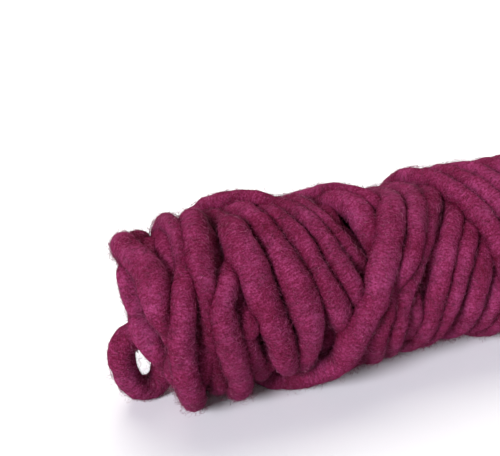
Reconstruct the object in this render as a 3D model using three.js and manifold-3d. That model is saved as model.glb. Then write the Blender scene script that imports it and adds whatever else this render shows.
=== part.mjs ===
// A log-wound ball of thick single-ply wool yarn, lying on its side.
// One solid: a filled middle, the outer turns of yarn laid over it, and the loop of yarn
// that comes out of the middle of the left end and goes back in under it.
// Millimetres, +Z up, the log's axis along X, the floor at Z = 0.

import * as THREE from "three";
import { mergeVertices } from "three/addons/utils/BufferGeometryUtils.js";
import Module from "manifold-3d";

// Driving dimensions of the log. Places along it are measured from a ring a little before the left shoulder.
const LOG_RADIUS = 36; // from the axis to the middle of the outer turns
const LEFT_SHOULDER = 12; // where the straight body starts
const RIGHT_SHOULDER = 181; // where it stops
const END_DEPTH = 20; // how far the middle of an end stands past its shoulder
const END_ARC = 46; // the same stretch, measured along the surface
const END_LEAN = 7; // the left end leans out above its middle and draws in below it
const LEAN_TOWARDS = Math.PI / 12; // the lean is turned this far from the top towards the front
const CORE_INSET = 4; // the filled middle lies this far inside the middle of the outer turns
const AXIS_HEIGHT = 40.5;
const FLAT_SPOT = 2; // the yarn is pressed flat by this much where the log touches the floor

// How the yarn beds down where turns cross
const TURN_SAMPLES = 80;
const SETTLE_ROUNDS = 80;
const RISE_RATE = 0.08; // how quickly the upper of two crossing turns rises
const SINK_RATE = 0.25; // and the lower one sinks
const SETTLE_PULL = 0.97; // what is left of a turn's rise or dip after each round, where nothing holds it
const CROSS_HEIGHT = 0.62; // height between two crossing turns, as a share of their thickness
const PARALLEL_REACH = 0.7; // parallel turns touch at this share of their thickness
const DEEPEST = -8;
const HIGHEST = 1.5;

// Faceting of the turns
const TURN_STEPS = 20;
const TURN_SIDES = 6;
const ROOT_STRETCH = 2.2; // the inner half of a turn is drawn down into the filled middle
const CORE_STEPS = 20;
const CORE_SIDES = 24;
const SAME_CORNER = 1e-4; // corners closer than this are one corner

// Outer turns, lowest first. A row says where the turn crosses six lines along the log, 60 degrees apart
// round it from its top towards the front, how far its middle stands off the log's rounded form, and how
// thick the yarn is.
const CROSSED_LINES = ["top", "front", "low", "under", "back", "rear"];
const SEEN_TURNS = [
  // over the left end
  { name: "end_ring", top: -23, front: -27, low: -24,
    under: -15, back: -15, rear: -18, lift: -5, thick: 10 },
  { name: "sky_under", top: 5, front: 12, low: 10, under: 12, back: 3, rear: -8, lift: -3, thick: 10 },
  { name: "end_left", top: -13, front: -25, low: -12.5,
    under: -5, back: 6, rear: 2, lift: 0.5, thick: 10.5 },
  { name: "end_knob", top: -7.5, front: -6.5, low: -7, under: 2, back: -2, rear: -7, lift: 2, thick: 12 },
  // round the left shoulder
  { name: "low_under", top: 19, front: 25, low: 37,
    under: 42, back: 35, rear: 24, lift: -4, thick: 10.5 },
  { name: "b", top: 28, front: 19.3, low: 26.5, under: 34, back: 37, rear: 36, lift: -1, thick: 11 },
  { name: "a", top: 18, front: 11.5, low: 16, under: 24, back: 27, rear: 26, lift: 0, thick: 12 },
  { name: "z1", top: 9, front: 2.5, low: -1.5, under: 12, back: 17, rear: 13, lift: 0.5, thick: 11.5 },
  // slanting down to the right
  { name: "c", top: 27.5, front: 33.5, low: 45, under: 50, back: 44, rear: 33, lift: 0, thick: 13 },
  { name: "d", top: 38, front: 47, low: 57, under: 60, back: 53, rear: 42, lift: 0, thick: 13.5 },
  { name: "e", top: 49, front: 59.7, low: 75, under: 70, back: 62, rear: 52, lift: 0, thick: 10.5 },
  { name: "f", top: 57, front: 70, low: 86, under: 64, back: 30, rear: 18, lift: 0.5, thick: 10.5 },
  { name: "g", top: 69.5, front: 82, low: 95, under: 88, back: 74, rear: 65, lift: -0.5, thick: 10.5 },
  { name: "g2", top: 83, front: 88, low: 99, under: 101, back: 92, rear: 82, lift: -1, thick: 11 },
  { name: "g3", top: 93, front: 100, low: 104, under: 98, back: 80, rear: 70, lift: 0, thick: 11 },
  // crossing them, slanting down to the left
  { name: "j", top: 128, front: 104, low: 98.5,
    under: 104, back: 110, rear: 120, lift: -0.5, thick: 10.5 },
  { name: "i", top: 119, front: 98, low: 89.5, under: 95, back: 101, rear: 110, lift: 0, thick: 11 },
  { name: "h", top: 107, front: 87.5, low: 69, under: 40, back: 52, rear: 92, lift: 1, thick: 13 },
];

// Where a turn leaves its wave. A row says at which angle round the log, in degrees from its top towards the
// front, how far to each side that reaches, how far the turn is moved along the log and off it there, and
// what share thicker it is.
const BENDS = [
  { turn: "end_ring", at: 130, spread: 65, along: 0, height: 3.5, thick: 0 },
  { turn: "sky_under", at: 2, spread: 40, along: 0, height: -8, thick: 0 },
  { turn: "sky_under", at: 108, spread: 55, along: 0, height: -5, thick: 0 },
  { turn: "end_left", at: 45, spread: 50, along: 0, height: -3.2, thick: 0 },
  { turn: "end_left", at: 95, spread: 45, along: 1, height: 0.8, thick: 0.15 },
  { turn: "end_knob", at: 12, spread: 42, along: 0, height: -1.5, thick: 0 },
  { turn: "end_knob", at: 38, spread: 36, along: 2.4, height: 0, thick: 0.16 },
  { turn: "end_knob", at: 82, spread: 36, along: 2.5, height: -2, thick: -0.2 },
  { turn: "low_under", at: 105, spread: 60, along: -5, height: -0.5, thick: 0 },
  { turn: "low_under", at: 58, spread: 28, along: 3.5, height: -4, thick: 0 },
  { turn: "b", at: 22, spread: 42, along: 9, height: -4.5, thick: 0 },
  { turn: "b", at: 62, spread: 24, along: -2, height: 1.4, thick: 0 },
  { turn: "b", at: 95, spread: 55, along: -2.1, height: 0.5, thick: 0.18 },
  { turn: "b", at: 150, spread: 40, along: -2.5, height: 2, thick: 0.12 },
  { turn: "a", at: 10, spread: 60, along: -0.4, height: 1.2, thick: 0.04 },
  { turn: "a", at: 60, spread: 26, along: 0.4, height: 0, thick: -0.18 },
  { turn: "a", at: 98, spread: 55, along: 1.8, height: -7, thick: -0.18 },
  { turn: "a", at: 152, spread: 40, along: 0, height: -2.5, thick: -0.15 },
  { turn: "z1", at: 2, spread: 60, along: 2.2, height: -2, thick: -0.24 },
  { turn: "z1", at: 35, spread: 30, along: 1, height: -1.6, thick: -0.06 },
  { turn: "z1", at: 130, spread: 70, along: 2, height: 0, thick: 0 },
  { turn: "c", at: -6, spread: 28, along: 1.5, height: -3.5, thick: -0.2 },
  { turn: "c", at: 5, spread: 72, along: 3.1, height: 0, thick: 0 },
  { turn: "c", at: 28, spread: 30, along: -1.2, height: 0.4, thick: 0.16 },
  { turn: "c", at: 50, spread: 45, along: 0, height: 0.6, thick: 0.15 },
  { turn: "c", at: 150, spread: 52, along: 3.6, height: -4.5, thick: -0.24 },
  { turn: "d", at: 15, spread: 85, along: 3.1, height: 0, thick: -0.03 },
  { turn: "d", at: 68, spread: 45, along: 0, height: 0.6, thick: 0.14 },
  { turn: "d", at: 122, spread: 48, along: -3.4, height: 0, thick: -0.22 },
  { turn: "d", at: 158, spread: 40, along: 0, height: -4.5, thick: -0.15 },
  { turn: "e", at: 30, spread: 80, along: 1.8, height: 0.9, thick: 0.06 },
  { turn: "e", at: 78, spread: 40, along: -1.5, height: 0, thick: 0.18 },
  { turn: "e", at: 116, spread: 36, along: 0, height: -4, thick: -0.1 },
  { turn: "f", at: -62, spread: 28, along: 4, height: -2, thick: 0 },
  { turn: "f", at: -30, spread: 26, along: 0, height: 2.4, thick: 0.05 },
  { turn: "f", at: 30, spread: 50, along: -1, height: 0, thick: 0 },
  { turn: "g", at: 20, spread: 50, along: -3.8, height: 0, thick: -0.18 },
  { turn: "g", at: 140, spread: 50, along: 0, height: -3.5, thick: 0 },
  { turn: "g2", at: 15, spread: 60, along: 3.5, height: 0.5, thick: 0.15 },
  { turn: "g2", at: 140, spread: 50, along: 0, height: -3.5, thick: 0 },
  { turn: "g3", at: 140, spread: 50, along: 0, height: -3, thick: 0 },
  { turn: "j", at: 100, spread: 55, along: -5, height: 0, thick: 0 },
  { turn: "j", at: 140, spread: 50, along: 0, height: -1, thick: 0 },
  { turn: "i", at: -18, spread: 55, along: 0, height: -4, thick: 0 },
  { turn: "i", at: 100, spread: 55, along: -5.5, height: 0, thick: 0 },
  { turn: "i", at: 140, spread: 50, along: 0, height: -0.5, thick: 0 },
  { turn: "h", at: -18, spread: 55, along: 0, height: -7, thick: 0 },
  { turn: "h", at: 42, spread: 40, along: -1.4, height: 0, thick: 0.06 },
  { turn: "h", at: 85, spread: 45, along: -3.5, height: 0, thick: 0.08 },
  { turn: "h", at: 97, spread: 24, along: -3, height: 0, thick: 0.1 },
];

// The plain right part: two layers of even turns that cross each other. A row says where its first turn has
// its top crossing and how far on each next one has it. It measures the other crossings from the top one.
const PLAIN_LAYERS = [
  {
    turns: 7, pitch: 12, lift: -1.5, thick: 11,
    top: 139, front: -22, low: -31, under: -28, back: -20, rear: -9,
  },
  {
    turns: 6, pitch: 13, lift: 0.5, thick: 11.5,
    top: 131, front: 12, low: 20, under: 18, back: 9, rear: 0,
  },
];
const SWAY = 1.8; // these turns tilt a little, by this much along the log
const SWAY_STEP = 2.4; // and each one another way than the last, by this angle in radians

// The loop at the left end
const LOOP_THICK = 12.5;
const LOOP_STEPS = 18;
const LOOP_SIDES = 8;
const LOOP_ROUTE = [
  { along: 6, across: 1, up: 30 },
  { along: -6.8, across: 0, up: 32.3 },
  { along: -13, across: -0.5, up: 31.3 },
  { along: -15.4, across: -1, up: 25.5 },
  { along: -14.9, across: -1, up: 18.6 },
  { along: -12.8, across: -0.5, up: 11.5 },
  { along: -8.2, across: 0, up: 6.2 },
  { along: -2.7, across: 0.5, up: 5.4 },
  { along: 1.8, across: 1, up: 9.5 },
  { along: 3.5, across: 2, up: 18 },
  { along: 8, across: 2.5, up: 26 },
];

const WOOL = { color: 0x742847, roughness: 0.95, metalness: 0 };

function plainTurns(layer) {
  return Array.from({ length: layer.turns }, (_, n) => {
    const { lift, thick } = layer;
    const turn = { lift, thick };
    CROSSED_LINES.forEach((line, k) => {
      const place = layer.top + n * layer.pitch + (k > 0 ? layer[line] : 0);
      turn[line] = place + SWAY * Math.sin(n * SWAY_STEP + (k * Math.PI) / 3);
    });
    return turn;
  });
}

// Where a turn lies along the log at an angle round it: the smooth closed wave through its six crossings
function alongAt(turn, round) {
  return CROSSED_LINES.reduce((along, line, k) => {
    const away = round - (k * Math.PI) / 3;
    const share = (1 + 2 * Math.cos(away) + 2 * Math.cos(2 * away) + Math.cos(3 * away)) / 6;
    return along + turn[line] * share;
  }, 0);
}

// A point of the rounded log that the middles of the turns follow, and the direction out of the log there
function onLog(along, round, inset = 0) {
  const left = along < LEFT_SHOULDER;
  const past = left ? LEFT_SHOULDER - along : Math.max(0, along - RIGHT_SHOULDER);
  const side = left ? -1 : 1;
  const bend = (Math.min(past / END_ARC, 1) * Math.PI) / 2;
  const lean = left ? 2 * END_LEAN * Math.cos(round - LEAN_TOWARDS) * Math.cos(bend) : 0;
  const depth = END_DEPTH + lean - inset;
  const radius = (LOG_RADIUS - inset) * Math.cos(bend);
  const shoulder = THREE.MathUtils.clamp(along, LEFT_SHOULDER, RIGHT_SHOULDER);
  const point = new THREE.Vector3(
    shoulder + side * depth * Math.sin(bend),
    -radius * Math.sin(round),
    AXIS_HEIGHT + radius * Math.cos(round),
  );
  const out = new THREE.Vector3(
    (side * Math.sin(bend)) / END_DEPTH,
    (-Math.cos(bend) * Math.sin(round)) / LOG_RADIUS,
    (Math.cos(bend) * Math.cos(round)) / LOG_RADIUS,
  ).normalize();
  return { point, out };
}

// What a turn's own bends add to it at an angle round the log
function bendAt(name, round) {
  const added = { along: 0, height: 0, thick: 0 };
  const bends = BENDS.filter(({ turn }) => turn === name);
  bends.forEach(({ at, spread, along, height, thick }) => {
    const past = THREE.MathUtils.radToDeg(round) - at;
    const away = THREE.MathUtils.euclideanModulo(past + 180, 360) - 180;
    const share = Math.abs(away) < spread ? (1 + Math.cos((Math.PI * away) / spread)) / 2 : 0;
    added.along += along * share;
    added.height += height * share;
    added.thick += thick * share;
  });
  return added;
}

function headingsOf(samples) {
  return samples.map((_, i) => {
    const before = samples.at(i - 1).point;
    const after = samples[(i + 1) % TURN_SAMPLES].point;
    return after.clone().sub(before).normalize();
  });
}

function layTurn(turn) {
  const rounds = Array.from({ length: TURN_SAMPLES }, (_, i) => (i / TURN_SAMPLES) * 2 * Math.PI);
  const samples = rounds.map((round) => onLog(alongAt(turn, round), round));
  const headings = headingsOf(samples);
  const heights = rounds.map(() => turn.lift);
  return { turn, lift: turn.lift, thick: turn.thick, rounds, samples, headings, heights };
}

// A settled turn with its own bends
function bendTurn({ turn, rounds, heights }) {
  const bends = rounds.map((round) => bendAt(turn.name, round));
  const samples = rounds.map((round, i) => onLog(alongAt(turn, round) + bends[i].along, round));
  return {
    samples,
    headings: headingsOf(samples),
    heights: heights.map((height, i) => height + bends[i].height),
    thicks: bends.map((bend) => turn.thick * (1 + bend.thick)),
  };
}

// The places where a later turn lies on an earlier one, with the height that it needs there
function findCrossings(laid) {
  const crossings = [];
  laid.forEach((upper, u) => {
    laid.slice(0, u).forEach((lower) => {
      const thick = (upper.thick + lower.thick) / 2;
      upper.samples.forEach(({ point }, i) => {
        const distances = lower.samples.map((sample) => sample.point.distanceTo(point));
        const distance = Math.min(...distances);
        const j = distances.indexOf(distance);
        const across = upper.headings[i].clone().cross(lower.headings[j]).length();
        const reach = thick * (PARALLEL_REACH + (1 - PARALLEL_REACH) * across);
        if (distance < reach) {
          const need = CROSS_HEIGHT * reach * (1 - (distance / reach) ** 2);
          crossings.push({ upper, i, lower, j, need });
        }
      });
    });
  });
  return crossings;
}

// The highest that a turn may lie at each sample without sinking into the floor further than its flat spot
function heightLimits({ lift, thick, samples }) {
  const highest = HIGHEST + Math.max(lift, 0);
  const lowest = thick / 2 - FLAT_SPOT;
  return samples.map(({ point, out }) => {
    return out.z < 0 ? Math.min(highest, (lowest - point.z) / out.z) : highest;
  });
}

// Crossing turns push each other apart, the lower one more, and each turn keeps a smooth line.
function settle(laid) {
  const crossings = findCrossings(laid);
  const limits = laid.map(heightLimits);
  for (let round = 0; round < SETTLE_ROUNDS; round += 1) {
    const pushes = new Map(laid.map((turn) => [turn, turn.heights.map(() => 0)]));
    crossings.forEach(({ upper, i, lower, j, need }) => {
      const short = need - (upper.heights[i] - lower.heights[j]);
      if (short > 0) {
        pushes.get(upper)[i] += short * RISE_RATE;
        pushes.get(lower)[j] -= short * SINK_RATE;
      }
    });
    laid.forEach((turn, t) => {
      const pushed = turn.heights.map((height, i) => {
        return turn.lift + (height - turn.lift) * SETTLE_PULL + pushes.get(turn)[i];
      });
      turn.heights = pushed.map((height, i) => {
        const smooth = height / 2 + (pushed.at(i - 1) + pushed[(i + 1) % TURN_SAMPLES]) / 4;
        return THREE.MathUtils.clamp(smooth, DEEPEST, limits[t][i]);
      });
    });
  }
  return laid;
}

const wasm = await Module();
wasm.setup();

function toSolid(geometry) {
  geometry.deleteAttribute("normal");
  geometry.deleteAttribute("uv");
  const merged = mergeVertices(geometry, SAME_CORNER);
  const vertProperties = new Float32Array(merged.attributes.position.array);
  const triVerts = new Uint32Array(merged.index.array);
  return new wasm.Manifold(new wasm.Mesh({ numProp: 3, vertProperties, triVerts }));
}

function toGeometry(solid) {
  const { vertProperties, triVerts } = solid.getMesh();
  const geometry = new THREE.BufferGeometry();
  geometry.setAttribute("position", new THREE.BufferAttribute(vertProperties, 3));
  geometry.setIndex(new THREE.BufferAttribute(triVerts, 1));
  return geometry;
}

// Puts each corner of a geometry that is a grid at the place given for its row and column. The last column is
// the first one again.
function reshape(geometry, columns, placeOf) {
  const { position } = geometry.attributes;
  for (let v = 0; v < position.count; v += 1) {
    const row = Math.floor(v / (columns + 1));
    const column = v % (columns + 1);
    const { x, y, z } = placeOf(row, column % columns);
    position.setXYZ(v, x, y, z);
  }
  return geometry;
}

// One turn: a closed tube with an edge along its crown, whose inner half reaches down into the filled middle
function turnSolid({ samples, headings, heights, thicks }) {
  const ring = new THREE.TorusGeometry(2, 1, TURN_SIDES, TURN_STEPS);
  const tube = reshape(ring, TURN_STEPS, (row, column) => {
    const angle = ((row % TURN_SIDES) / TURN_SIDES) * 2 * Math.PI;
    const i = (column * TURN_SAMPLES) / TURN_STEPS;
    const { point, out } = samples[i];
    const sideways = out.clone().cross(headings[i]).normalize();
    const rise = (thicks[i] / 2) * Math.cos(angle);
    const stretch = rise < 0 ? ROOT_STRETCH : 1;
    const corner = point.clone().addScaledVector(out, heights[i] + rise * stretch);
    return corner.addScaledVector(sideways, (thicks[i] / 2) * Math.sin(angle));
  });
  return toSolid(tube);
}

// The filled middle: the rounded log itself, a little inside the turns
function coreSolid() {
  const first = LEFT_SHOULDER - END_ARC;
  const last = RIGHT_SHOULDER + END_ARC;
  const ball = new THREE.SphereGeometry(1, CORE_SIDES, CORE_STEPS);
  const core = reshape(ball, CORE_SIDES, (row, column) => {
    const along = THREE.MathUtils.lerp(first, last, row / CORE_STEPS);
    const round = (-column / CORE_SIDES) * 2 * Math.PI;
    return onLog(along, round, CORE_INSET).point;
  });
  return toSolid(core);
}

// The loop: a plain round tube, with both ends inside the log
function loopSolid() {
  const points = LOOP_ROUTE.map(({ along, across, up }) => new THREE.Vector3(along, across, up));
  const section = new THREE.Shape().absarc(0, 0, LOOP_THICK / 2, 0, 2 * Math.PI);
  const loop = new THREE.ExtrudeGeometry(section, {
    steps: LOOP_STEPS,
    curveSegments: LOOP_SIDES,
    extrudePath: new THREE.CatmullRomCurve3(points),
  });
  return toSolid(loop);
}

// What the floor takes off the yarn that rests on it
function underFloorSolid() {
  const span = 2 * (RIGHT_SHOULDER + END_ARC);
  const box = new THREE.BoxGeometry(2 * span, span, span);
  box.translate(0, 0, -span / 2);
  return toSolid(box);
}

const turns = [...SEEN_TURNS, ...PLAIN_LAYERS.flatMap(plainTurns)];
const bent = settle(turns.map(layTurn)).map(bendTurn);
const wound = bent.map(turnSolid).reduce((whole, turn) => whole.add(turn), coreSolid());
const resting = wound.add(loopSolid()).subtract(underFloorSolid());

// Only the outer skin is kept, so the small hollows that the turns close off inside are filled.
const [skin] = resting.decompose().sort((one, other) => other.volume() - one.volume());
const geometry = toGeometry(skin);

// The origin lies on the floor under the middle of the part.
geometry.computeBoundingBox();
const centre = geometry.boundingBox.getCenter(new THREE.Vector3());
geometry.translate(-centre.x, -centre.y, 0);

const woundYarn = new THREE.Mesh(geometry, new THREE.MeshStandardMaterial(WOOL));
woundYarn.name = "wound_yarn";

const woolYarn = new THREE.Group();
woolYarn.add(woundYarn);

export default woolYarn;
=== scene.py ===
import math
from collections import namedtuple

import bpy
import numpy as np
from mathutils import Matrix, Vector, noise
from mathutils.kdtree import KDTree


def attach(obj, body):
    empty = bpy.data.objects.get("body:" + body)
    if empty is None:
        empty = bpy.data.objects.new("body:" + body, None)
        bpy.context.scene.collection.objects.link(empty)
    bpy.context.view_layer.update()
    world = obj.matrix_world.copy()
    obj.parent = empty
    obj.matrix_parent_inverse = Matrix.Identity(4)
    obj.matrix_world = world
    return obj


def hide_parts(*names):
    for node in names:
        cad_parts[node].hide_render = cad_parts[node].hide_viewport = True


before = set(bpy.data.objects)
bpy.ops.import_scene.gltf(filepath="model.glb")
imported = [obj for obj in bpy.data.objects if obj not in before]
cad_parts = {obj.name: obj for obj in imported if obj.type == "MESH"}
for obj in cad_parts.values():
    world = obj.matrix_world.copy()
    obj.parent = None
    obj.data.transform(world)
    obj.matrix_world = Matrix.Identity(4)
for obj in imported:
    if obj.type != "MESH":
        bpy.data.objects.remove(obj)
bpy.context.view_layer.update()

MM = 0.001
FULL_TURN = 2 * math.pi

# The log, as in the solid. Places along it are measured from a ring a little before the left shoulder.
LOG_RADIUS = 36.0
LEFT_SHOULDER = 12.0
RIGHT_SHOULDER = 181.0
END_DEPTH = 20.0
END_ARC = 46.0
END_LEAN = 7.0
LEAN_TOWARDS = math.pi / 12
AXIS_HEIGHT = 40.5
FLAT_SPOT = 2.0
FRAME_ORIGIN = (92.37, -0.51, 0.0)  # the frame's origin, along, across and up

# How the yarn beds down where turns cross, as in the solid
TURN_SAMPLES = 80
SETTLE_ROUNDS = 80
RISE_RATE = 0.08
SINK_RATE = 0.25
SETTLE_PULL = 0.97
CROSS_HEIGHT = 0.62
PARALLEL_REACH = 0.7
DEEPEST = -8.0
HIGHEST = 1.5
LEAST_SLOPE = 1e-6  # a direction that goes down less than this counts as going down by this much
SMOOTH_ROUNDS = 2

# Outer turns, lowest first: where each crosses six lines along the log, 60 degrees apart round it from its
# top towards the front, how far its middle stands off the log's rounded form, and how thick the yarn is
LINES = ("top", "front", "low", "under", "back", "rear")
Turn = namedtuple("Turn", ("name", *LINES, "lift", "thick"))
SEEN_TURNS = [
    # over the left end
    Turn("end_ring", -23, -27, -24, -15, -15, -18, lift=-5, thick=10),
    Turn("sky_under", 5, 12, 10, 12, 3, -8, lift=-3, thick=10),
    Turn("end_left", -13, -25, -12.5, -5, 6, 2, lift=0.5, thick=10.5),
    Turn("end_knob", -7.5, -6.5, -7, 2, -2, -7, lift=2, thick=12),
    # round the left shoulder
    Turn("low_under", 19, 25, 37, 42, 35, 24, lift=-4, thick=10.5),
    Turn("b", 28, 19.3, 26.5, 34, 37, 36, lift=-1, thick=11),
    Turn("a", 18, 11.5, 16, 24, 27, 26, lift=0, thick=12),
    Turn("z1", 9, 2.5, -1.5, 12, 17, 13, lift=0.5, thick=11.5),
    # slanting down to the right
    Turn("c", 27.5, 33.5, 45, 50, 44, 33, lift=0, thick=13),
    Turn("d", 38, 47, 57, 60, 53, 42, lift=0, thick=13.5),
    Turn("e", 49, 59.7, 75, 70, 62, 52, lift=0, thick=10.5),
    Turn("f", 57, 70, 86, 64, 30, 18, lift=0.5, thick=10.5),
    Turn("g", 69.5, 82, 95, 88, 74, 65, lift=-0.5, thick=10.5),
    Turn("g2", 83, 88, 99, 101, 92, 82, lift=-1, thick=11),
    Turn("g3", 93, 100, 104, 98, 80, 70, lift=0, thick=11),
    # crossing them, slanting down to the left
    Turn("j", 128, 104, 98.5, 104, 110, 120, lift=-0.5, thick=10.5),
    Turn("i", 119, 98, 89.5, 95, 101, 110, lift=0, thick=11),
    Turn("h", 107, 87.5, 69, 40, 52, 92, lift=1, thick=13),
]
LEFT_TURNS = 10  # how many of them, from the first, the left piece of fuzz covers

# Layers of even turns: the first turn's top crossing, the step to the next turn, and the other crossings
# measured from the top one
Layer = namedtuple("Layer", "turns top pitch front low under back rear lift thick")
PLAIN_LAYERS = [
    Layer(7, 139, 12, -22, -31, -28, -20, -9, lift=-1.5, thick=11),
    Layer(6, 131, 13, 12, 20, 18, 9, 0, lift=0.5, thick=11.5),
]
SWAY = 1.8  # these turns tilt a little, by this much along the log
SWAY_STEP = 2.4  # and each one another way than the last, by this angle in radians
# What shows of the winding under the outer turns
INNER_LAYERS = [
    Layer(17, -26, 15, 6, 12, 8, 0, -4, lift=-10.5, thick=12.5),
    Layer(18, -22, 14.5, -7, -12, -9, -3, 3, lift=-7, thick=11.5),
]

# Where a turn leaves its wave: the angle round the log from its top towards the front, in degrees, how far to
# each side that reaches, how far the turn is moved along the log and off it, and what share thicker it is
Bend = namedtuple("Bend", "turn at spread along height thick")
BENDS = [
    Bend("end_ring", 130, 65, along=0.0, height=3.5, thick=0.00),
    Bend("sky_under", 2, 40, along=0.0, height=-8.0, thick=0.00),
    Bend("sky_under", 108, 55, along=0.0, height=-5.0, thick=0.00),
    Bend("end_left", 45, 50, along=0.0, height=-3.2, thick=0.00),
    Bend("end_left", 95, 45, along=1.0, height=0.8, thick=0.15),
    Bend("end_knob", 12, 42, along=0.0, height=-1.5, thick=0.00),
    Bend("end_knob", 38, 36, along=2.4, height=0.0, thick=0.16),
    Bend("end_knob", 82, 36, along=2.5, height=-2.0, thick=-0.20),
    Bend("low_under", 105, 60, along=-5.0, height=-0.5, thick=0.00),
    Bend("low_under", 58, 28, along=3.5, height=-4.0, thick=0.00),
    Bend("low_under", 76, 9, along=2.0, height=3.2, thick=0.00),
    Bend("b", 22, 42, along=9.0, height=-4.5, thick=0.00),
    Bend("b", 62, 24, along=-2.0, height=1.4, thick=0.00),
    Bend("b", 95, 55, along=-2.1, height=0.5, thick=0.18),
    Bend("b", 150, 40, along=-2.5, height=2.0, thick=0.12),
    Bend("a", 10, 60, along=-0.4, height=1.2, thick=0.04),
    Bend("a", 60, 26, along=0.4, height=0.0, thick=-0.18),
    Bend("a", 98, 55, along=1.8, height=-7.0, thick=-0.18),
    Bend("a", 152, 40, along=0.0, height=-2.5, thick=-0.15),
    Bend("z1", 2, 60, along=2.2, height=-2.0, thick=-0.24),
    Bend("z1", 35, 30, along=1.0, height=-1.6, thick=-0.06),
    Bend("z1", 130, 70, along=2.0, height=0.0, thick=0.00),
    Bend("c", -6, 28, along=1.5, height=-3.5, thick=-0.20),
    Bend("c", 5, 72, along=3.1, height=0.0, thick=0.00),
    Bend("c", 28, 30, along=-1.2, height=0.4, thick=0.16),
    Bend("c", 50, 45, along=0.0, height=0.6, thick=0.15),
    Bend("c", 150, 52, along=3.6, height=-4.5, thick=-0.24),
    Bend("d", 15, 85, along=3.1, height=0.0, thick=-0.03),
    Bend("d", 68, 45, along=0.0, height=0.6, thick=0.14),
    Bend("d", 122, 48, along=-3.4, height=0.0, thick=-0.22),
    Bend("d", 158, 40, along=0.0, height=-4.5, thick=-0.15),
    Bend("e", 30, 80, along=1.8, height=0.9, thick=0.06),
    Bend("e", 78, 40, along=-1.5, height=0.0, thick=0.18),
    Bend("e", 116, 36, along=0.0, height=-4.0, thick=-0.10),
    Bend("f", -62, 28, along=4.0, height=-2.0, thick=0.00),
    Bend("f", -30, 26, along=0.0, height=2.4, thick=0.05),
    Bend("f", 30, 50, along=-1.0, height=0.0, thick=0.00),
    Bend("g", 20, 50, along=-3.8, height=0.0, thick=-0.18),
    Bend("g", 140, 50, along=0.0, height=-3.5, thick=0.00),
    Bend("g2", 15, 60, along=3.5, height=0.5, thick=0.15),
    Bend("g2", 140, 50, along=0.0, height=-3.5, thick=0.00),
    Bend("g3", 140, 50, along=0.0, height=-3.0, thick=0.00),
    Bend("j", 100, 55, along=-5.0, height=0.0, thick=0.00),
    Bend("j", 140, 50, along=0.0, height=-1.0, thick=0.00),
    Bend("i", -18, 55, along=0.0, height=-4.0, thick=0.00),
    Bend("i", 74, 14, along=0.0, height=-3.0, thick=-0.20),
    Bend("i", 100, 55, along=-5.5, height=0.0, thick=0.00),
    Bend("i", 140, 50, along=0.0, height=-0.5, thick=0.00),
    Bend("h", -18, 55, along=0.0, height=-7.0, thick=0.00),
    Bend("h", 42, 40, along=-1.4, height=0.0, thick=0.06),
    Bend("h", 85, 45, along=-3.5, height=0.0, thick=0.08),
    Bend("h", 97, 24, along=-3.0, height=0.0, thick=0.10),
]

# The loop at the left end: points along, across and up
LOOP_THICK = 12.5
LOOP_ROUTE = [
    (6, 1, 30), (-6.8, 0, 32.3), (-13, -0.5, 31.3), (-15.4, -1, 25.5), (-14.9, -1, 18.6), (-12.8, -0.5, 11.5),
    (-8.2, 0, 6.2), (-2.7, 0.5, 5.4), (1.8, 1, 9.5), (3.5, 2, 18), (8, 2.5, 26),
]

# The dark middle that shows between the inner turns
CORE_RADIUS = 23.0
CORE_FIRST = 3.0
CORE_LAST = 190.0
CORE_ROUND = 14.0  # length of its rounded ends
CORE_TIP = 0.99  # share of the rounding at which they end in a small flat

# Faceting
FINE_STEPS = 200
FINE_SIDES = 24
INNER_STEPS = 100
INNER_SIDES = 10
LOOP_STEPS = 96
CORE_STEPS = 60
CORE_SIDES = 24
MAP_MARGIN = 0.01  # free edge of the map along the strands, as a share of it
BAND_MARGIN = 0.04  # and of each strand's own band
CELL_MARGIN = 0.10  # and of each fibre's own cell

# Unevenness of the yarn
SLUB_SHARE = 0.10  # how much thicker and thinner it gets along its length
SLUB_LENGTH = 22.0
MEANDER = 0.9  # how far a turn strays along the log
SAG = 0.6  # and up and down
STRAY_TIMES = 1.5
PRESSED = 0.90  # the bare strand, without its fuzz, as a share of the yarn's thickness
Lump = namedtuple("Lump", "length height")
LUMPS = [Lump(10.0, 0.85), Lump(5.0, 0.50), Lump(2.6, 0.20)]
TWIST = 0.055  # turn of the fibres round the strand, in radians for each millimetre
RIPPLES_ALONG = 1.1  # how close the fibres' ripples lie along the strand
RIPPLES_AROUND = 0.35  # and round it, where they are drawn out

# Seeds: a strand's place in the noise that makes it uneven is its seed times these steps
SEED_STEPS = (31.7, 17.3, 7.9)
STRAY_STEP = 5.3
SAG_SEED = 200  # added for the second of a turn's two waves
EVEN_SEED = 40
INNER_SEED = 80
LOOP_SEED = 120
CORE_SEED = 121

# Painted shade: the wool's colour is made darker in the grooves between the strands, where shade falls
WIDEST = 8.0  # no strand is further than this from its middle line
GROOVE = 4.5  # how far from another strand the painted shade reaches
GROOVE_CURVE = 1.6  # over one, it gathers at the bottom
INNER_GROOVE_SHADE = 0.5  # how deep in a groove the inner strands and the core count as lying, from none to one, for the painted shade
GROOVE_SHADE_TINT = (0.60, 0.40, 0.47)  # painted shade: multiplies the colour at the bottom
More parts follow.
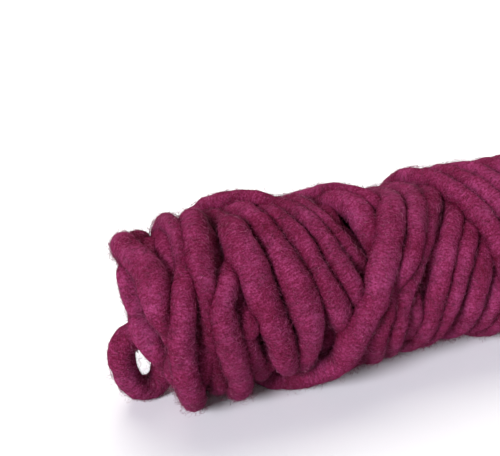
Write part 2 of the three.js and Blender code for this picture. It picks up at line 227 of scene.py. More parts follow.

# Fibres, in each of three pieces
LYING_FIBRES = 18000
STANDING_FIBRES = 7200
LYING_POINTS = 3
STANDING_POINTS = 4
FIBRE_SIDES = 3
LYING_RADIUS = (0.03, 0.07)
STANDING_RADIUS = (0.03, 0.06)
LYING_PALEST = 1.0  # tones go from none, the darkest, to at most one
STANDING_PALEST = 0.6
FIBRE_ROOT = 0.15  # the ends lie this deep
SEEN_SIDE = math.radians(110)  # fibres are laid up to this far round a strand from its outer side
LYING_LENGTH = (1.8, 5.0)
LYING_LEAN = 1.3  # angle from the strand's own direction, in radians
LYING_SPREAD = 0.5
LYING_CURL = 0.9
LYING_RISE = (0.2, 1.0)
STANDING_DRIFT = (0.6, 3.5)
STANDING_CURL = 1.4
STANDING_RISE = (0.4, 3.4)
STANDING_ARCH = (0.5, 1.0)  # from fibres that stand on end to those that come back down
SPARE_FIBRES = 3  # made for each one kept, because many would lie inside other strands
FLOOR_GAP = 0.1
LEFT_SEED = 3
MIDDLE_SEED = 5
RIGHT_SEED = 7

# The wool's patterns, and the share of its tone that each makes. The ripples have places of their own, and
# the other two lie in the frame, in metres.
Pattern = namedtuple("Pattern", "scale detail roughness share")
RIPPLES = Pattern(scale=1.3, detail=4.0, roughness=0.62, share=0.35)
FELT = Pattern(scale=1300, detail=3.0, roughness=0.60, share=0.40)
PATCHES = Pattern(scale=70, detail=2.0, roughness=0.50, share=0.25)
WOOL_BUMP = 0.7
WOOL_BUMP_HEIGHT = 0.0006
WOOL_ROUGHNESS = 0.95
WOOL_SHINE = 0.0
FIBRE_ROUGHNESS = 0.65
FIBRE_SHINE = 0.25

# Colours, from dark to pale
Tone = namedtuple("Tone", "place colour")
WOOL_TONES = [
    Tone(0.39, (0.078, 0.006, 0.019)),
    Tone(0.50, (0.140, 0.0145, 0.050)),
    Tone(0.61, (0.240, 0.037, 0.114)),
]
FIBRE_TONES = [
    Tone(0.00, (0.095, 0.007, 0.027)),
    Tone(0.65, (0.205, 0.027, 0.086)),
    Tone(0.97, (0.320, 0.075, 0.160)),
    Tone(1.00, (0.450, 0.170, 0.260)),
]

# Lights: the way towards each, how strong it is, over what angle it is spread, in degrees, and its colour
Sun = namedtuple("Sun", "name towards power spread colour")
SUNS = [
    Sun("key", (-0.76, -0.46, 0.46), power=4.8, spread=20, colour=(1.0, 0.97, 1.03)),
    Sun("warm", (0.20, 0.50, 0.84), power=3.0, spread=70, colour=(1.0, 0.95, 0.83)),
]
WORLD_POWER = 0.10
WORLD_COLOUR = (1.0, 0.90, 0.86, 1)

# The floor, in metres: flat as far as the first radius, then curved up to a low rim
FLOOR_RADIUS = 2.4
FLOOR_BEND = 0.5
FLOOR_RIM = 0.9
FLOOR_SIDES = 96
FLOOR_BEND_STEPS = 12
FLOOR_COLOUR = (0.79, 0.815, 0.85, 1)
FLOOR_ROUGHNESS = 0.8

# The camera, with its places in metres, and its lens and sensor in millimetres
CAMERA_AIM = (-0.0503, 0.0005, 0.0717)
CAMERA_AZIMUTH = math.radians(-22.6)
CAMERA_ELEVATION = math.radians(25.0)
CAMERA_DISTANCE = 0.3164
CAMERA_NEAREST = 0.01
CAMERA_LENS = 55.44
CAMERA_SENSOR = 36


def unit(vectors):
    return vectors / np.linalg.norm(vectors, axis=-1, keepdims=True)


def plain_turns(layer):
    """The even turns of a layer, each tilted its own way."""
    turns = []
    steps = (0, layer.front, layer.low, layer.under, layer.back, layer.rear)
    for n in range(layer.turns):
        top = layer.top + n * layer.pitch
        tilts = [SWAY * math.sin(n * SWAY_STEP + k * math.pi / 3) for k in range(len(steps))]
        crossings = [top + step + tilt for step, tilt in zip(steps, tilts)]
        turns.append(Turn("even", *crossings, lift=layer.lift, thick=layer.thick))
    return turns


def along_at(turn, rounds):
    """The smooth closed wave through the turn's six crossings."""
    along = np.zeros_like(rounds)
    for k, line in enumerate(LINES):
        away = rounds - k * math.pi / 3
        share = 1 + 2 * np.cos(away) + 2 * np.cos(2 * away) + np.cos(3 * away)
        along += getattr(turn, line) * share / 6
    return along


def on_log(along, rounds):
    """Points of the rounded log that the middles of the turns follow, and the directions out of it there."""
    left = along < LEFT_SHOULDER
    past = np.where(left, LEFT_SHOULDER - along, np.maximum(0, along - RIGHT_SHOULDER))
    side = np.where(left, -1.0, 1.0)
    bend = np.minimum(past / END_ARC, 1) * math.pi / 2
    lean = np.where(left, 2 * END_LEAN * np.cos(rounds - LEAN_TOWARDS) * np.cos(bend), 0.0)
    depth = END_DEPTH + lean
    radius = LOG_RADIUS * np.cos(bend)
    shoulder = np.clip(along, LEFT_SHOULDER, RIGHT_SHOULDER)
    points = np.stack([
        shoulder + side * depth * np.sin(bend),
        -radius * np.sin(rounds),
        AXIS_HEIGHT + radius * np.cos(rounds),
    ], axis=-1)
    outs = np.stack([
        side * np.sin(bend) / END_DEPTH,
        -np.cos(bend) * np.sin(rounds) / LOG_RADIUS,
        np.cos(bend) * np.cos(rounds) / LOG_RADIUS,
    ], axis=-1)
    return points, unit(outs)


def headings_of(points):
    """Directions along a closed row of points."""
    return unit(np.roll(points, -1, axis=0) - np.roll(points, 1, axis=0))


def smoothed(heights):
    """Heights round a turn, each with a half share of its two neighbours."""
    return heights / 2 + (np.roll(heights, 1, axis=-1) + np.roll(heights, -1, axis=-1)) / 4


def find_crossings(points, headings, thicks):
    """Where a later turn lies on an earlier one: the two samples, and the height needed between them."""
    uppers, lowers, needs = [], [], []
    samples = np.arange(TURN_SAMPLES)
    for upper in range(len(thicks)):
        for lower in range(upper):
            thick = (thicks[upper] + thicks[lower]) / 2
            distances = np.linalg.norm(points[upper][:, None] - points[lower][None], axis=-1)
            nearest = distances.argmin(axis=1)
            distance = distances[samples, nearest]
            across = np.linalg.norm(np.cross(headings[upper], headings[lower][nearest]), axis=-1)
            reach = thick * (PARALLEL_REACH + (1 - PARALLEL_REACH) * across)
            near = distance < reach
            uppers.append(upper * TURN_SAMPLES + samples[near])
            lowers.append(lower * TURN_SAMPLES + nearest[near])
            needs.append((CROSS_HEIGHT * reach * (1 - (distance / reach) ** 2))[near])
    return np.concatenate(uppers), np.concatenate(lowers), np.concatenate(needs)


def settle(turns):
    """Heights of the turns over the log's form, after crossing turns have pushed each other apart."""
    rounds = np.arange(TURN_SAMPLES) / TURN_SAMPLES * FULL_TURN
    laid = [on_log(along_at(turn, rounds), rounds) for turn in turns]
    points = np.array([own for own, _ in laid])
    outs = np.array([own for _, own in laid])
    headings = np.array([headings_of(own) for own in points])
    lifts = np.array([turn.lift for turn in turns], float)[:, None]
    thicks = np.array([turn.thick for turn in turns], float)
    uppers, lowers, needs = find_crossings(points, headings, thicks)

    highest = HIGHEST + np.maximum(lifts, 0)
    down = np.minimum(outs[..., 2], -LEAST_SLOPE)
    floor = (thicks[:, None] / 2 - FLAT_SPOT - points[..., 2]) / down
    limits = np.where(outs[..., 2] < 0, np.minimum(highest, floor), highest)

    heights = np.repeat(lifts, TURN_SAMPLES, axis=1)
    for _ in range(SETTLE_ROUNDS):
        flat = heights.ravel()
        short = np.maximum(needs - (flat[uppers] - flat[lowers]), 0)
        push = np.zeros_like(flat)
        np.add.at(push, uppers, short * RISE_RATE)
        np.add.at(push, lowers, -short * SINK_RATE)
        pushed = lifts + (heights - lifts) * SETTLE_PULL + push.reshape(heights.shape)
        heights = np.clip(smoothed(pushed), DEEPEST, limits)
    return heights


class Strand:
    """The middle line of a length of yarn, with its directions and radii, and the places on its surface."""

    def __init__(self, points, outs, headings, thick, seed, closed):
        self.points = points
        self.sideways = unit(np.cross(outs, headings))
        self.outs = unit(np.cross(headings, self.sideways))
        self.closed = closed
        self.offset = Vector([seed * step for step in SEED_STEPS])
        steps = np.linalg.norm(np.diff(points, axis=0), axis=-1)
        self.lengths = np.concatenate([[0], np.cumsum(steps)])
        self.radii = thick / 2 * PRESSED * (1 + SLUB_SHARE * self.slubs())

    def slubs(self):
        places = [Vector(point) / SLUB_LENGTH + self.offset for point in self.points]
        return np.array([noise.noise(place) for place in places])

    def surface(self, step, angle, height):
        """Points over the strand, and the directions out of it there: at a fractional step along it, an angle
        round it from its outer side, and a height over its bare surface."""
        count = len(self.points)
        if self.closed:
            low = np.floor(step).astype(int) % count
            high = (low + 1) % count
        else:
            low = np.clip(np.floor(step).astype(int), 0, count - 2)
            high = low + 1
        share = (step - np.floor(step))[..., None]

        def between(values):
            return values[low] * (1 - share) + values[high] * share

        out = between(self.outs) * np.cos(angle)[..., None]
        normal = unit(out + between(self.sideways) * np.sin(angle)[..., None])
        radius = between(self.radii[:, None]) + height[..., None]
        return between(self.points) + normal * radius, normal


def bends_of(turn, rounds):
    """How far along and off the log the turn's own bends take it, and what share thicker it is there."""
    along, height, thick = np.zeros((3, len(rounds)))
    for bend in BENDS:
        if bend.turn == turn.name:
            away = (np.degrees(rounds) - bend.at + 180) % 360 - 180
            share = np.where(abs(away) < bend.spread, (1 + np.cos(math.pi * away / bend.spread)) / 2, 0)
            along += bend.along * share
            height += bend.height * share
            thick += bend.thick * share
    return along, height, thick


def stray(rounds, seed):
    """A slow, uneven wave round the log."""
    places = np.stack([np.cos(rounds), np.sin(rounds), 0 * rounds], axis=-1) * STRAY_TIMES
    return np.array([noise.noise(Vector(place) + Vector((0, 0, seed * STRAY_STEP))) for place in places])


def laid_strand(turn, heights, seed, steps=FINE_STEPS):
    """The settled turn as a closed strand that starts under the log."""
    rounds = math.pi + np.arange(steps) / steps * FULL_TURN
    along, height, thick = bends_of(turn, rounds)
    along = along + along_at(turn, rounds) + MEANDER * stray(rounds, seed)
    base, outs = on_log(along, rounds)
    coarse = np.arange(TURN_SAMPLES) / TURN_SAMPLES * FULL_TURN
    fine = np.interp(rounds % FULL_TURN, coarse, heights, period=FULL_TURN)
    for _ in range(SMOOTH_ROUNDS):
        fine = smoothed(fine)
    height = height + fine + SAG * stray(rounds, seed + SAG_SEED)
    points = base + outs * height[:, None]
    return Strand(points, outs, headings_of(points), turn.thick * (1 + thick), seed, closed=True)


def loop_strand():
    """The loop as an open strand, on a smooth curve through the points of its route."""
    route = np.array(LOOP_ROUTE, float)
    before = 2 * route[0] - route[1]
    after = 2 * route[-1] - route[-2]
    line = np.vstack([before, route, after])
    places = np.linspace(0, len(route) - 1, LOOP_STEPS)
    stretch = np.minimum(places.astype(int), len(route) - 2)
    t = (places - stretch)[:, None]
    a, b, c, d = (line[stretch + n] for n in range(4))
    square = (2 * a - 5 * b + 4 * c - d) * t ** 2
    cube = (3 * b - a - 3 * c + d) * t ** 3
    points = 0.5 * (2 * b + (c - a) * t + square + cube)
    headings = unit(np.gradient(points, axis=0))
    outs = np.tile([0.0, -1.0, 0.0], (LOOP_STEPS, 1))
    return Strand(points, outs, headings, LOOP_THICK, LOOP_SEED, closed=False)


def core_strand():
    """The middle of the log, as one straight thick strand."""
    along = np.linspace(CORE_FIRST, CORE_LAST, CORE_STEPS)
    points = np.stack([along, 0 * along, 0 * along + AXIS_HEIGHT], axis=-1)
    from_end = np.minimum(along - CORE_FIRST, CORE_LAST - along)
    short = np.clip(1 - from_end / CORE_ROUND, 0, CORE_TIP)
    thick = 2 * CORE_RADIUS * np.sqrt(1 - short ** 2)
    outs = np.tile([0.0, 0.0, 1.0], (CORE_STEPS, 1))
    headings = np.tile([1.0, 0.0, 0.0], (CORE_STEPS, 1))
    return Strand(points, outs, headings, thick, CORE_SEED, closed=False)


def build_strands():
    """The strands of the crossing turns, the even turns and the inner turns."""
    plain = [turn for layer in PLAIN_LAYERS for turn in plain_turns(layer)]
    heights = settle(SEEN_TURNS + plain)
    seen_heights, plain_heights = np.split(heights, [len(SEEN_TURNS)])
    crossing = [laid_strand(turn, own, n) for n, (turn, own) in enumerate(zip(SEEN_TURNS, seen_heights))]
    even = [laid_strand(turn, own, EVEN_SEED + n) for n, (turn, own) in enumerate(zip(plain, plain_heights))]
    inner = []
    for layer in INNER_LAYERS:
        level = np.full(TURN_SAMPLES, float(layer.lift))
        for turn in plain_turns(layer):
            inner.append(laid_strand(turn, level, INNER_SEED + len(inner), INNER_STEPS))
    return crossing, even, inner


class Windings:
    """The outer strands, to find how deep between them a point on one of them lies."""

    def __init__(self, strands):
        self.strands = strands
        numbers = [np.full(len(strand.points), n) for n, strand in enumerate(strands)]
        self.strand_of = np.concatenate(numbers).tolist()
        self.radii = np.concatenate([strand.radii for strand in strands]).tolist()
        self.tree = KDTree(len(self.radii))
        for n, centre in enumerate(np.concatenate([strand.points for strand in strands])):
            self.tree.insert(centre, n)
        self.tree.balance()

    def rooms(self, points, own):
        """How far points on a strand are from the nearest other one: less than nothing where they are inside
        it, and never more than a groove reaches."""
        own_number = self.strands.index(own)
        rooms = []
        for point in points:
            near = self.tree.find_range(point, WIDEST + GROOVE)
            gaps = [away - self.radii[k] for _, k, away in near if self.strand_of[k] != own_number]
            rooms.append(min(gaps + [GROOVE]))
        return np.array(rooms)

    def grooves(self, points, own):
        """How deep in a groove points on a strand lie, from none to one."""
        if own not in self.strands:
            return np.full(len(points), INNER_GROOVE_SHADE)
        return np.clip(1 - self.rooms(points, own) / GROOVE, 0, 1) ** GROOVE_CURVE


def lumps_at(points, offset):
    """How far a strand's felted surface stands off its round form at points of it."""
    heights = np.zeros(len(points))
    for lump in LUMPS:
        places = points / lump.length + np.array(offset)
        heights += lump.height * np.array([noise.noise(Vector(place)) for place in places])
    return heights


def tube_corners(strand, sides):
    """Rings of corners round a strand, lumpy and flat on the floor, and their places among the ripples."""
    count = len(strand.points)
    angles = np.arange(sides) / sides * FULL_TURN
    ring = strand.outs[:, None] * np.cos(angles)[None, :, None]
    ring = ring + strand.sideways[:, None] * np.sin(angles)[None, :, None]
    corners = strand.points[:, None] + ring * strand.radii[:, None, None]

    turned = angles[None] + TWIST * strand.lengths[:, None]
    width = RIPPLES_AROUND * strand.radii.mean()
    around = width * np.stack([np.cos(turned), np.sin(turned)], axis=-1)
    along = np.broadcast_to(RIPPLES_ALONG * strand.lengths[:, None, None], (count, sides, 1))
    ripples = np.concatenate([around, along], axis=-1) + np.array(strand.offset)

    lumps = lumps_at(corners.reshape(-1, 3), strand.offset)
    corners = corners + ring * lumps.reshape(count, sides, 1)
    corners[..., 2] = np.maximum(corners[..., 2], 0)
    return corners.reshape(-1, 3), ripples.reshape(-1, 3)


def tube_faces(count, sides, closed):
    """Triangles between a tube's rings of corners, and where their corners lie in its map."""
    rows = count if closed else count - 1
    row, side = np.meshgrid(np.arange(rows), np.arange(sides), indexing="ij")
    low = row * sides
    high = (row + 1) % count * sides
    next_side = (side + 1) % sides
    quads = np.stack([low + side, low + next_side, high + next_side, high + side], axis=-1)
    squares = np.stack([
        np.stack([row, row, row + 1, row + 1], axis=-1) / rows,
        np.stack([side, side + 1, side + 1, side], axis=-1) / sides,
    ], axis=-1)
    halves = [0, 1, 2, 0, 2, 3]
    triangles = quads.reshape(-1, 4)[:, halves].reshape(-1, 3)
    places = squares.reshape(-1, 4, 2)[:, halves].reshape(-1, 3, 2)
    return triangles, places


def end_faces(count, sides):
    """Triangles that close an open tube, from its first and last ring to the middles of its ends, which come
    after all the rings, and where their corners lie in its map."""
    side = np.arange(sides)
    next_side = (side + 1) % sides
    last_ring = (count - 1) * sides
    middle = np.full(sides, count * sides)
    first = np.stack([next_side, side, middle], axis=-1)
    last = np.stack([last_ring + side, last_ring + next_side, middle + 1], axis=-1)
    across = np.stack([side + 1, side, side + 0.5], axis=-1) / sides
    first_places = np.stack([0 * across, across], axis=-1)
    last_places = np.stack([0 * across + 1, across[:, [1, 0, 2]]], axis=-1)
    return np.concatenate([first, last]), np.concatenate([first_places, last_places])


def tube_arrays(strand, sides):
    """Corners, triangles, places among the ripples, and map of a strand's tube."""
    count = len(strand.points)
    corners, ripples = tube_corners(strand, sides)
    triangles, places = tube_faces(count, sides, strand.closed)
    if not strand.closed:
        end_triangles, end_places = end_faces(count, sides)
        middles = [corners[:sides].mean(axis=0), corners[-sides:].mean(axis=0)]
        corners = np.vstack([corners, middles])
        ripples = np.vstack([ripples, ripples[[0, -1]]])
        triangles = np.concatenate([triangles, end_triangles])
        places = np.concatenate([places, end_places])
    return corners, triangles, ripples, places


def inset(places, margin):
    """Places in a map, drawn in from its edges."""
    return margin + (1 - 2 * margin) * places


def new_mesh(name, corners, triangles, maps):
    """A mesh object in the frame from arrays, with a map for its pattern."""
    mesh = bpy.data.meshes.new(name)
    places = (corners - np.array(FRAME_ORIGIN)) * MM
    mesh.vertices.add(len(corners))
    mesh.vertices.foreach_set("co", places.astype(np.float32).ravel())
    mesh.loops.add(triangles.size)
    mesh.loops.foreach_set("vertex_index", triangles.astype(np.int32).ravel())
    mesh.polygons.add(len(triangles))
    mesh.polygons.foreach_set("loop_start", np.arange(0, triangles.size, 3, dtype=np.int32))
    mesh.uv_layers.new(name="OFBake").data.foreach_set("uv", maps.astype(np.float32).ravel())
    mesh.update(calc_edges=True)
    mesh.validate()
    mesh.shade_smooth()
    piece = bpy.data.objects.new(name, mesh)
    bpy.context.scene.collection.objects.link(piece)
    return piece


def add_values(piece, name, values):
    """Keeps a number for each corner, for the material to read."""
    attribute = piece.data.attributes.new(name, "FLOAT", "POINT")
    attribute.data.foreach_set("value", values.astype(np.float32))


def add_places(piece, name, places):
    """Keeps a place for each corner, for the material to read."""
    attribute = piece.data.attributes.new(name, "FLOAT_VECTOR", "POINT")
    attribute.data.foreach_set("vector", places.astype(np.float32).ravel())


def yarn_piece(name, strands, sides, windings, material):
    """Tubes of strands, as one mesh that stands for the solid."""
    corners, triangles, ripples, maps, grooves = [], [], [], [], []
    first_corner = 0
    for n, strand in enumerate(strands):
        own, faces, pattern, places = tube_arrays(strand, sides)
        corners.append(own)
        triangles.append(faces + first_corner)
        ripples.append(pattern)
        grooves.append(windings.grooves(own, strand))
        band = (n + inset(places[..., 1], BAND_MARGIN)) / len(strands)
        maps.append(np.stack([inset(places[..., 0], MAP_MARGIN), band], axis=-1))
        first_corner += len(own)
    piece = new_mesh(name, np.concatenate(corners), np.concatenate(triangles), np.concatenate(maps))
    add_places(piece, "ripples", np.concatenate(ripples))
    # how deep in a groove each corner lies, the mask of the painted shade
    add_values(piece, "groove", np.concatenate(grooves))
    piece.data.materials.append(material)
    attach(piece, "root")
    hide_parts("wound_yarn")


def lying_fibres(strand, count, rng):
    """Fibres that follow the strand's surface, with their ends in it."""
    spacing = strand.lengths[-1] / len(strand.points)
    length = rng.uniform(*LYING_LENGTH, count)[:, None]
    lean = rng.normal(LYING_LEAN, LYING_SPREAD, count)[:, None]
    curl = rng.normal(0, LYING_CURL, count)[:, None]
    t = np.linspace(-0.5, 0.5, LYING_POINTS)[None]
    slant = lean + curl * t
    step = rng.uniform(0, len(strand.points) - 1, count)[:, None]
    step = step + length * t * np.cos(slant) / spacing
    angle = rng.uniform(-SEEN_SIDE, SEEN_SIDE, count)[:, None]
    angle = angle + length * t * np.sin(slant) / strand.radii.mean()
    rise = rng.uniform(*LYING_RISE, count)[:, None]
    return strand.surface(step, angle, rise * (1 - (2 * t) ** 2) - FIBRE_ROOT)


def standing_fibres(strand, count, rng):
    """Fibres that leave the strand's surface and curl over."""
    spacing = strand.lengths[-1] / len(strand.points)
    drift = rng.uniform(*STANDING_DRIFT, count)[:, None]
    way = rng.uniform(0, FULL_TURN, count)[:, None]
    curl = rng.normal(0, STANDING_CURL, count)[:, None]
    t = np.linspace(0, 1, STANDING_POINTS)[None]
    slant = way + curl * t
    step = rng.uniform(0, len(strand.points) - 1, count)[:, None]
    step = step + drift * t * np.cos(slant) / spacing
    angle = rng.uniform(-SEEN_SIDE, SEEN_SIDE, count)[:, None]
    angle = angle + drift * t * np.sin(slant) / strand.radii.mean()
    low, high = STANDING_RISE
    rise = low + (high - low) * rng.uniform(0, 1, count)[:, None] ** 2
    arch = rng.uniform(*STANDING_ARCH, count)[:, None]
    return strand.surface(step, angle, rise * np.sin(math.pi * arch * t) - FIBRE_ROOT)


def clear_fibres(make, wanted, strands, windings, rng):
    """Fibres over the strands, shared out by their lengths and left off where other strands lie."""
    lengths = np.array([strand.lengths[-1] for strand in strands])
    points, normals, grooves = [], [], []
    for strand, share in zip(strands, lengths / lengths.sum()):
        line, normal = make(strand, int(wanted * share * SPARE_FIBRES), rng)
        above = line[..., 2].min(axis=1) > FLOOR_GAP
        groove = windings.grooves(line[:, line.shape[1] // 2], strand)
        clear = above & (groove < 1)
        points.append(line[clear])
        normals.append(normal[clear])
        grooves.append(groove[clear])
    pick = rng.permutation(sum(len(own) for own in grooves))[:wanted]
    return [np.concatenate(parts)[pick] for parts in (points, normals, grooves)]


def fibre_corners(points, normals, radius):
    """Corners of pointed fibres along rows of points: one end, a ring at each middle point, and the other."""
    ahead = unit(points[:, 2:] - points[:, :-2])
    across = unit(np.cross(ahead, normals[:, 1:-1]))
    up = np.cross(across, ahead)
    angles = np.arange(FIBRE_SIDES) / FIBRE_SIDES * FULL_TURN
    ring = up[:, :, None] * np.cos(angles)[:, None] + across[:, :, None] * np.sin(angles)[:, None]
    rings = points[:, 1:-1, None] + ring * radius[:, None, None, None]
    return np.concatenate([points[:, :1], rings.reshape(len(points), -1, 3), points[:, -1:]], axis=1)


def fibre_triangles(rows):
    """Triangles between the corners of one fibre."""
    last = 1 + (rows - 2) * FIBRE_SIDES
    triangles = []
    for j in range(FIBRE_SIDES):
        k = (j + 1) % FIBRE_SIDES
        triangles.append((0, 1 + k, 1 + j))
        triangles.append((last - FIBRE_SIDES + j, last - FIBRE_SIDES + k, last))
        for low in range(1, last - FIBRE_SIDES, FIBRE_SIDES):
            high = low + FIBRE_SIDES
            triangles.append((low + j, low + k, high + k))
            triangles.append((low + j, high + k, high + j))
    return np.array(triangles)


def fibre_places(rows):
    """Where the corners of a fibre lie in its cell of the map."""
    row = np.concatenate([[0], np.repeat(np.arange(1, rows - 1), FIBRE_SIDES), [rows - 1]])
    side = np.concatenate([[0.5], np.tile(np.arange(FIBRE_SIDES), rows - 2), [0.5]])
    return inset(np.stack([row / (rows - 1), side / FIBRE_SIDES], axis=-1), CELL_MARGIN)


def fuzz_piece(name, strands, windings, seed, material):
    """Fibres lying on the strands and standing off them, as one mesh."""
    rng = np.random.default_rng(seed)
    cells = math.ceil(math.sqrt(LYING_FIBRES + STANDING_FIBRES))
    corners, triangles, maps, tones, grooves = [], [], [], [], []
    first_cell, first_corner = 0, 0
    kinds = [
        (lying_fibres, LYING_FIBRES, LYING_RADIUS, LYING_PALEST),
        (standing_fibres, STANDING_FIBRES, STANDING_RADIUS, STANDING_PALEST),
    ]
    for make, wanted, radius, palest in kinds:
        points, normals, groove = clear_fibres(make, wanted, strands, windings, rng)
        count, rows = points.shape[:2]
        own = fibre_corners(points, normals, rng.uniform(*radius, count))
        size = own.shape[1]
        faces = fibre_triangles(rows)
        starts = first_corner + np.arange(count) * size
        number = first_cell + np.arange(count)
        cell = np.stack([number % cells, number // cells], axis=-1)
        places = (cell[:, None] + fibre_places(rows)) / cells
        corners.append(own.reshape(-1, 3))
        triangles.append((starts[:, None, None] + faces).reshape(-1, 3))
        maps.append(places[:, faces].reshape(-1, 2))
        tones.append(np.repeat(rng.uniform(0, palest, count), size))
        grooves.append(np.repeat(groove, size))
        first_cell += count
        first_corner += count * size
    piece = new_mesh(name, np.concatenate(corners), np.concatenate(triangles), np.concatenate(maps))
    add_values(piece, "tone", np.concatenate(tones))
    # how deep in a groove each fibre lies, the mask of the painted shade
    add_values(piece, "groove", np.concatenate(grooves))
    piece.data.materials.append(material)
    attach(piece, "root")


def new_material(name):
    """A material with nodes, its tree and its shader."""
    material = bpy.data.materials.new(name)
    material.use_nodes = True
    tree = material.node_tree
    return material, tree, tree.nodes["Principled BSDF"]


def node(tree, kind, **settings):
    made = tree.nodes.new(kind)
    for name, value in settings.items():
        setattr(made, name, value)
    return made


def attribute_node(tree, name):
    """What a mesh keeps for each corner under a name."""
    return node(tree, "ShaderNodeAttribute", attribute_name=name)


def noise_node(tree, places, pattern):
    made = node(tree, "ShaderNodeTexNoise")
    made.inputs["Scale"].default_value = pattern.scale
    made.inputs["Detail"].default_value = pattern.detail
    made.inputs["Roughness"].default_value = pattern.roughness
    tree.links.new(places, made.inputs["Vector"])
    return made.outputs["Fac"]


def math_node(tree, operation, *values):
    made = node(tree, "ShaderNodeMath", operation=operation)
    for socket, value in zip(made.inputs, values):
        if isinstance(value, (int, float)):
            socket.default_value = value
        else:
            tree.links.new(value, socket)
    return made.outputs[0]


def ramp_node(tree, value, tones):
    made = node(tree, "ShaderNodeValToRGB")
    ramp = made.color_ramp
    while len(ramp.elements) < len(tones):
        ramp.elements.new(0.5)
    for element, tone in zip(ramp.elements, tones):
        element.position = tone.place
        element.color = (*tone.colour, 1)
    tree.links.new(value, made.inputs["Fac"])
    return made.outputs["Color"]


def paint_groove_shade(tree, colour):
    """The colour with painted shade, deeper in the grooves between strands."""
    groove = attribute_node(tree, "groove").outputs["Fac"]
    tint = ramp_node(tree, groove, [Tone(0.0, (1.0, 1.0, 1.0)), Tone(1.0, GROOVE_SHADE_TINT)])
    mix = node(tree, "ShaderNodeMix", data_type="RGBA", blend_type="MULTIPLY")
    mix.inputs["Factor"].default_value = 1.0
    tree.links.new(colour, mix.inputs["A"])
    tree.links.new(tint, mix.inputs["B"])
    return mix.outputs["Result"]


def wool_material():
    """Felted wool: rippled, fine-grained and patchy in its tone, with painted shade in the grooves between
    strands, and bumps of the ripples and the grain.
    """
    material, tree, shader = new_material("felted_wool")
    places = node(tree, "ShaderNodeTexCoord").outputs["Object"]
    ripples = noise_node(tree, attribute_node(tree, "ripples").outputs["Vector"], RIPPLES)
    felt = noise_node(tree, places, FELT)
    patches = noise_node(tree, places, PATCHES)
    tone = math_node(tree, "MULTIPLY", felt, FELT.share)
    tone = math_node(tree, "MULTIPLY_ADD", ripples, RIPPLES.share, tone)
    tone = math_node(tree, "MULTIPLY_ADD", patches, PATCHES.share, tone)
    colour = ramp_node(tree, tone, WOOL_TONES)
    # painted shade: the base colour is darkened in the grooves between strands
    tree.links.new(paint_groove_shade(tree, colour), shader.inputs["Base Color"])

    bump = node(tree, "ShaderNodeBump")
    bump.inputs["Strength"].default_value = WOOL_BUMP
    bump.inputs["Distance"].default_value = WOOL_BUMP_HEIGHT
    tree.links.new(math_node(tree, "ADD", ripples, felt), bump.inputs["Height"])
    tree.links.new(bump.outputs["Normal"], shader.inputs["Normal"])

    shader.inputs["Roughness"].default_value = WOOL_ROUGHNESS
    shader.inputs["Specular IOR Level"].default_value = WOOL_SHINE
    return material


def fibre_material():
    """Single fibres, each in its own tone, darkened by painted shade in the grooves."""
    material, tree, shader = new_material("wool_fibres")
    colour = ramp_node(tree, attribute_node(tree, "tone").outputs["Fac"], FIBRE_TONES)
    # painted shade: the fibres' colour is darkened in the grooves between strands
    tree.links.new(paint_groove_shade(tree, colour), shader.inputs["Base Color"])
    shader.inputs["Roughness"].default_value = FIBRE_ROUGHNESS
    shader.inputs["Specular IOR Level"].default_value = FIBRE_SHINE
    return material


def floor_sheet():
    """A round floor with a curved rim, as one turned sheet."""
    bends = np.linspace(0, math.pi / 2, FLOOR_BEND_STEPS + 1)
    profile = [(FLOOR_RADIUS + FLOOR_BEND * math.sin(b), FLOOR_BEND * (1 - math.cos(b))) for b in bends]
    profile.append((FLOOR_RADIUS + FLOOR_BEND, FLOOR_RIM))
    rounds = np.arange(FLOOR_SIDES) / FLOOR_SIDES * FULL_TURN
    corners = [(r * math.cos(a), r * math.sin(a), z) for r, z in profile for a in rounds]
    faces = [tuple(range(FLOOR_SIDES))]
    for row in range(len(profile) - 1):
        low = row * FLOOR_SIDES
        high = low + FLOOR_SIDES
        for j in range(FLOOR_SIDES):
            k = (j + 1) % FLOOR_SIDES
            faces.append((low + j, high + j, high + k, low + k))
    mesh = bpy.data.meshes.new("floor")
    mesh.from_pydata(corners, [], faces)
    mesh.shade_smooth()
    floor = bpy.data.objects.new("floor", mesh)
    bpy.context.scene.collection.objects.link(floor)
    return floor


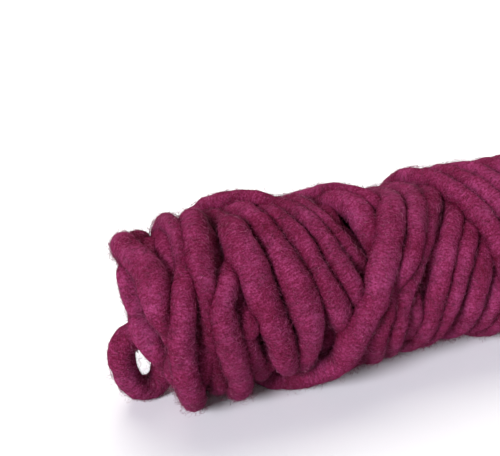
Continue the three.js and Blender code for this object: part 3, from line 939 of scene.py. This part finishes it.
def build_stage():
    """The floor, the even light from all round, and the lights."""
    material, _, shader = new_material("pale_floor")
    shader.inputs["Base Color"].default_value = FLOOR_COLOUR
    shader.inputs["Roughness"].default_value = FLOOR_ROUGHNESS
    floor = floor_sheet()
    floor.data.materials.append(material)

    world = bpy.data.worlds.new("studio")
    world.use_nodes = True
    background = world.node_tree.nodes["Background"]
    background.inputs["Color"].default_value = WORLD_COLOUR
    background.inputs["Strength"].default_value = WORLD_POWER
    bpy.context.scene.world = world
    for sun in SUNS:
        lamp = bpy.data.lights.new(sun.name, "SUN")
        lamp.energy = sun.power
        lamp.angle = math.radians(sun.spread)
        lamp.color = sun.colour
        light = bpy.data.objects.new(sun.name, lamp)
        light.rotation_euler = Vector(sun.towards).to_track_quat("Z", "Y").to_euler()
        bpy.context.scene.collection.objects.link(light)
    bpy.context.scene.view_settings.view_transform = "Standard"


def build_camera():
    data = bpy.data.cameras.new("camera")
    data.sensor_width = CAMERA_SENSOR
    data.lens = CAMERA_LENS
    data.clip_start = CAMERA_NEAREST
    camera = bpy.data.objects.new("camera", data)
    flat = math.cos(CAMERA_ELEVATION)
    back = Vector((
        math.sin(CAMERA_AZIMUTH) * flat,
        -math.cos(CAMERA_AZIMUTH) * flat,
        math.sin(CAMERA_ELEVATION),
    ))
    right = Vector((math.cos(CAMERA_AZIMUTH), math.sin(CAMERA_AZIMUTH), 0))
    up = back.cross(right)
    turn = Matrix((right, up, back)).transposed().to_4x4()
    camera.matrix_world = Matrix.Translation(Vector(CAMERA_AIM) + back * CAMERA_DISTANCE) @ turn
    bpy.context.scene.collection.objects.link(camera)
    bpy.context.scene.camera = camera


build_camera()
build_stage()
crossing, even, inner = build_strands()
loop = loop_strand()
windings = Windings(crossing + even + [loop])

wool = wool_material()
yarn_piece("crossing_turns", crossing, FINE_SIDES, windings, wool)
yarn_piece("even_turns", even, FINE_SIDES, windings, wool)
yarn_piece("inner_turns", inner, INNER_SIDES, windings, wool)
yarn_piece("inner_core", [core_strand()], CORE_SIDES, windings, wool)
yarn_piece("end_loop", [loop], FINE_SIDES, windings, wool)

fibres = fibre_material()
fuzz_piece("fuzz_left", crossing[:LEFT_TURNS] + [loop], windings, LEFT_SEED, fibres)
fuzz_piece("fuzz_middle", crossing[LEFT_TURNS:], windings, MIDDLE_SEED, fibres)
fuzz_piece("fuzz_right", even, windings, RIGHT_SEED, fibres)
